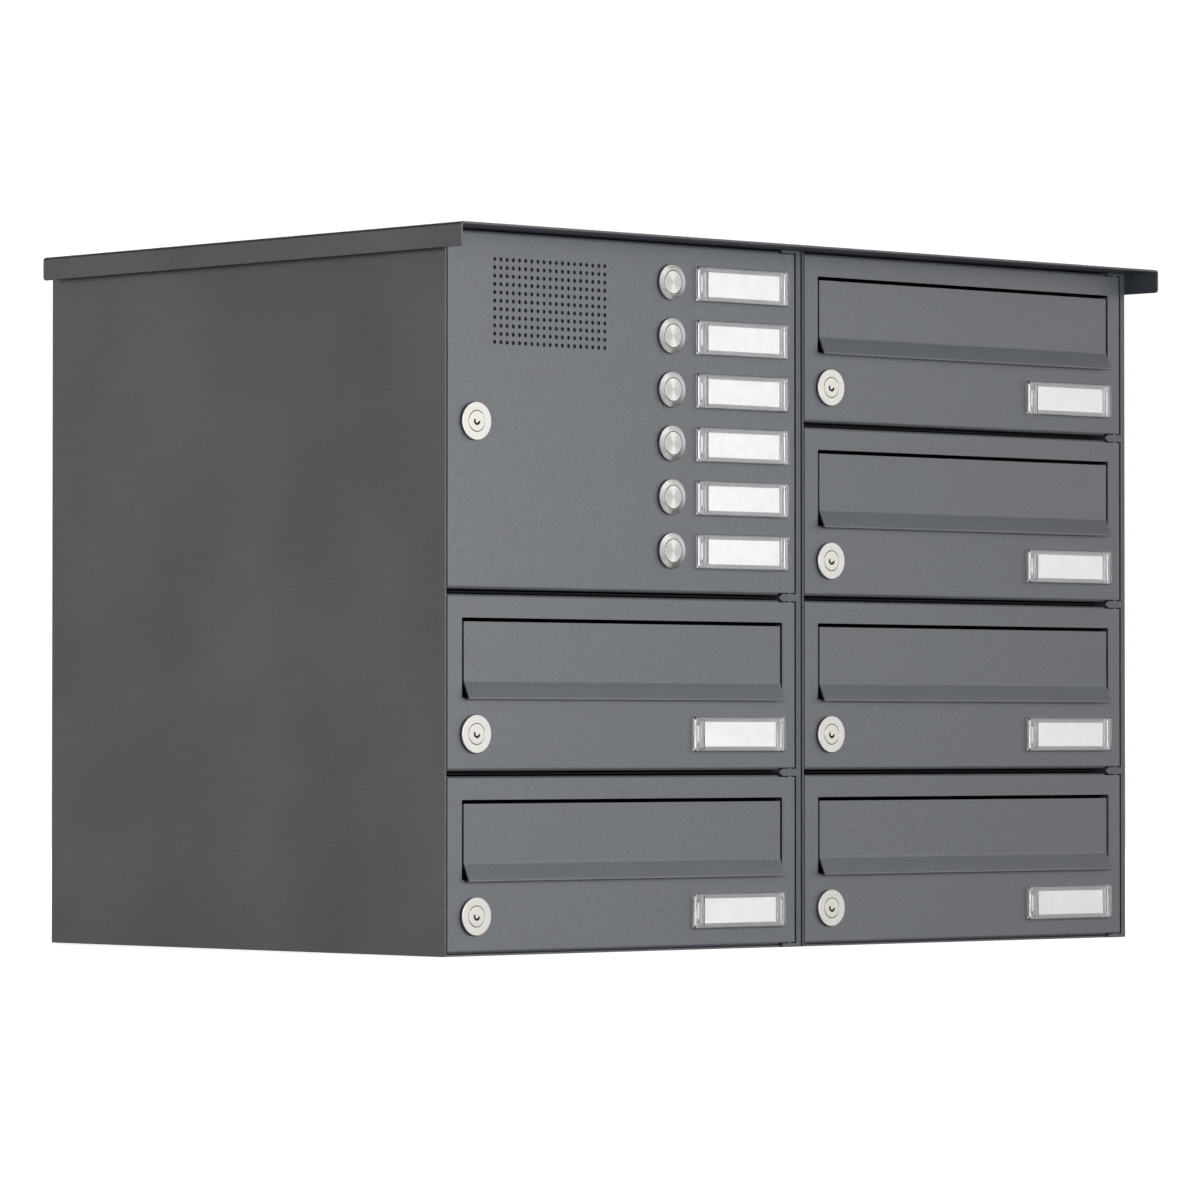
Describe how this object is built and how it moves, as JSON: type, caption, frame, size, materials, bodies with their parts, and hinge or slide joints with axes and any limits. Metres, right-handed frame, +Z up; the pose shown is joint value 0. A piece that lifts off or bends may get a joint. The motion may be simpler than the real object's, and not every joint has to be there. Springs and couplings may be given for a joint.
{
  "type": "cluster mailbox unit",
  "caption": "Wall-mounted block of letterboxes in two steel columns under one roof, with hinged doors, mail flaps, cam locks and an intercom door with bell buttons.",
  "frame": {"origin": "middle of the bounding box, on the bottom of the housings", "axes": "+X to the right as seen from the front, +Y to the rear wall, +Z up; the doors face -Y"},
  "size_m": [0.614, 0.408, 0.4412],
  "materials": {
    "powder_coat": "fine-textured satin powder coat, anthracite",
    "roof_coat": "fine-textured satin powder coat, anthracite",
    "nickel": "satin nickel plate",
    "stainless": "circular brushed",
    "clear_plastic": "clear moulded acrylic",
    "zinc": "zinc plated",
    "black_plastic": "moulded",
    "board": "solder mask",
    "rubber": "moulded"
  },
  "bodies": {
    "housing": {"roof": "roof_coat", "housing_left": "powder_coat", "housing_right": "powder_coat", "hinge_rod_left": "zinc", "hinge_rod_right": "zinc", "column_joiner": "zinc", "cable_grommet": "rubber"},
    "door_l1": {"door_l1": "powder_coat", "lock_body_l1": "nickel", "name_plate_l1": "clear_plastic"},
    "flap_l1": {"flap_l1": "powder_coat"},
    "lock_plug_l1": {"lock_plug_l1": "nickel"},
    "door_l2": {"door_l2": "powder_coat", "lock_body_l2": "nickel", "name_plate_l2": "clear_plastic"},
    "flap_l2": {"flap_l2": "powder_coat"},
    "lock_plug_l2": {"lock_plug_l2": "nickel"},
    "door_r1": {"door_r1": "powder_coat", "lock_body_r1": "nickel", "name_plate_r1": "clear_plastic"},
    "flap_r1": {"flap_r1": "powder_coat"},
    "lock_plug_r1": {"lock_plug_r1": "nickel"},
    "door_r2": {"door_r2": "powder_coat", "lock_body_r2": "nickel", "name_plate_r2": "clear_plastic"},
    "flap_r2": {"flap_r2": "powder_coat"},
    "lock_plug_r2": {"lock_plug_r2": "nickel"},
    "door_r3": {"door_r3": "powder_coat", "lock_body_r3": "nickel", "name_plate_r3": "clear_plastic"},
    "flap_r3": {"flap_r3": "powder_coat"},
    "lock_plug_r3": {"lock_plug_r3": "nickel"},
    "door_r4": {"door_r4": "powder_coat", "lock_body_r4": "nickel", "name_plate_r4": "clear_plastic"},
    "flap_r4": {"flap_r4": "powder_coat"},
    "lock_plug_r4": {"lock_plug_r4": "nickel"},
    "door_intercom": {"door_intercom": "powder_coat", "lock_body_intercom": "nickel", "speaker_module": "black_plastic", "bell_terminal_board": "board", "bell_bezel_1": "stainless", "bell_bezel_2": "stainless", "bell_bezel_3": "stainless", "bell_bezel_4": "stainless", "bell_bezel_5": "stainless", "bell_bezel_6": "stainless", "bell_plate_1": "clear_plastic", "bell_plate_2": "clear_plastic", "bell_plate_3": "clear_plastic", "bell_plate_4": "clear_plastic", "bell_plate_5": "clear_plastic", "bell_plate_6": "clear_plastic"},
    "lock_plug_intercom": {"lock_plug_intercom": "nickel"},
    "bell_button_1": {"bell_button_1": "stainless"},
    "bell_button_2": {"bell_button_2": "stainless"},
    "bell_button_3": {"bell_button_3": "stainless"},
    "bell_button_4": {"bell_button_4": "stainless"},
    "bell_button_5": {"bell_button_5": "stainless"},
    "bell_button_6": {"bell_button_6": "stainless"}
  },
  "joints": [
    {"name": "door_hinge_l1", "type": "hinge", "parent": "housing", "child": "door_l1", "pos_m": [-0.0084, -0.178, 0.165], "axis": [0, 0, 1], "range_deg": [0, 95]},
    {"name": "flap_hinge_l1", "type": "hinge", "parent": "door_l1", "child": "flap_l1", "pos_m": [-0.15, -0.1775, 0.1993], "axis": [-1, 0, 0], "range_deg": [0, 75]},
    {"name": "lock_turn_l1", "type": "hinge", "parent": "door_l1", "child": "lock_plug_l1", "pos_m": [-0.276, -0.181, 0.134], "axis": [0, 1, 0], "range_deg": [0, 90]},
    {"name": "door_hinge_l2", "type": "hinge", "parent": "housing", "child": "door_l2", "pos_m": [-0.0084, -0.178, 0.055], "axis": [0, 0, 1], "range_deg": [0, 95]},
    {"name": "flap_hinge_l2", "type": "hinge", "parent": "door_l2", "child": "flap_l2", "pos_m": [-0.15, -0.1775, 0.0893], "axis": [-1, 0, 0], "range_deg": [0, 75]},
    {"name": "lock_turn_l2", "type": "hinge", "parent": "door_l2", "child": "lock_plug_l2", "pos_m": [-0.276, -0.181, 0.024], "axis": [0, 1, 0], "range_deg": [0, 90]},
    {"name": "door_hinge_r1", "type": "hinge", "parent": "housing", "child": "door_r1", "pos_m": [0.2916, -0.178, 0.385], "axis": [0, 0, 1], "range_deg": [0, 95]},
    {"name": "flap_hinge_r1", "type": "hinge", "parent": "door_r1", "child": "flap_r1", "pos_m": [0.15, -0.1775, 0.4193], "axis": [-1, 0, 0], "range_deg": [0, 75]},
    {"name": "lock_turn_r1", "type": "hinge", "parent": "door_r1", "child": "lock_plug_r1", "pos_m": [0.024, -0.181, 0.354], "axis": [0, 1, 0], "range_deg": [0, 90]},
    {"name": "door_hinge_r2", "type": "hinge", "parent": "housing", "child": "door_r2", "pos_m": [0.2916, -0.178, 0.275], "axis": [0, 0, 1], "range_deg": [0, 95]},
    {"name": "flap_hinge_r2", "type": "hinge", "parent": "door_r2", "child": "flap_r2", "pos_m": [0.15, -0.1775, 0.3093], "axis": [-1, 0, 0], "range_deg": [0, 75]},
    {"name": "lock_turn_r2", "type": "hinge", "parent": "door_r2", "child": "lock_plug_r2", "pos_m": [0.024, -0.181, 0.244], "axis": [0, 1, 0], "range_deg": [0, 90]},
    {"name": "door_hinge_r3", "type": "hinge", "parent": "housing", "child": "door_r3", "pos_m": [0.2916, -0.178, 0.165], "axis": [0, 0, 1], "range_deg": [0, 95]},
    {"name": "flap_hinge_r3", "type": "hinge", "parent": "door_r3", "child": "flap_r3", "pos_m": [0.15, -0.1775, 0.1993], "axis": [-1, 0, 0], "range_deg": [0, 75]},
    {"name": "lock_turn_r3", "type": "hinge", "parent": "door_r3", "child": "lock_plug_r3", "pos_m": [0.024, -0.181, 0.134], "axis": [0, 1, 0], "range_deg": [0, 90]},
    {"name": "door_hinge_r4", "type": "hinge", "parent": "housing", "child": "door_r4", "pos_m": [0.2916, -0.178, 0.055], "axis": [0, 0, 1], "range_deg": [0, 95]},
    {"name": "flap_hinge_r4", "type": "hinge", "parent": "door_r4", "child": "flap_r4", "pos_m": [0.15, -0.1775, 0.0893], "axis": [-1, 0, 0], "range_deg": [0, 75]},
    {"name": "lock_turn_r4", "type": "hinge", "parent": "door_r4", "child": "lock_plug_r4", "pos_m": [0.024, -0.181, 0.024], "axis": [0, 1, 0], "range_deg": [0, 90]},
    {"name": "door_hinge_intercom", "type": "hinge", "parent": "housing", "child": "door_intercom", "pos_m": [-0.0084, -0.178, 0.33], "axis": [0, 0, 1], "range_deg": [0, 95]},
    {"name": "lock_turn_intercom", "type": "hinge", "parent": "door_intercom", "child": "lock_plug_intercom", "pos_m": [-0.276, -0.181, 0.323], "axis": [0, 1, 0], "range_deg": [0, 90]},
    {"name": "bell_press_1", "type": "slide", "parent": "door_intercom", "child": "bell_button_1", "axis": [0, 1, 0], "range_m": [0, 0.0015], "stiffness_N_per_m": 300},
    {"name": "bell_press_2", "type": "slide", "parent": "door_intercom", "child": "bell_button_2", "axis": [0, 1, 0], "range_m": [0, 0.0015], "stiffness_N_per_m": 300},
    {"name": "bell_press_3", "type": "slide", "parent": "door_intercom", "child": "bell_button_3", "axis": [0, 1, 0], "range_m": [0, 0.0015], "stiffness_N_per_m": 300},
    {"name": "bell_press_4", "type": "slide", "parent": "door_intercom", "child": "bell_button_4", "axis": [0, 1, 0], "range_m": [0, 0.0015], "stiffness_N_per_m": 300},
    {"name": "bell_press_5", "type": "slide", "parent": "door_intercom", "child": "bell_button_5", "axis": [0, 1, 0], "range_m": [0, 0.0015], "stiffness_N_per_m": 300},
    {"name": "bell_press_6", "type": "slide", "parent": "door_intercom", "child": "bell_button_6", "axis": [0, 1, 0], "range_m": [0, 0.0015], "stiffness_N_per_m": 300}
  ]
}
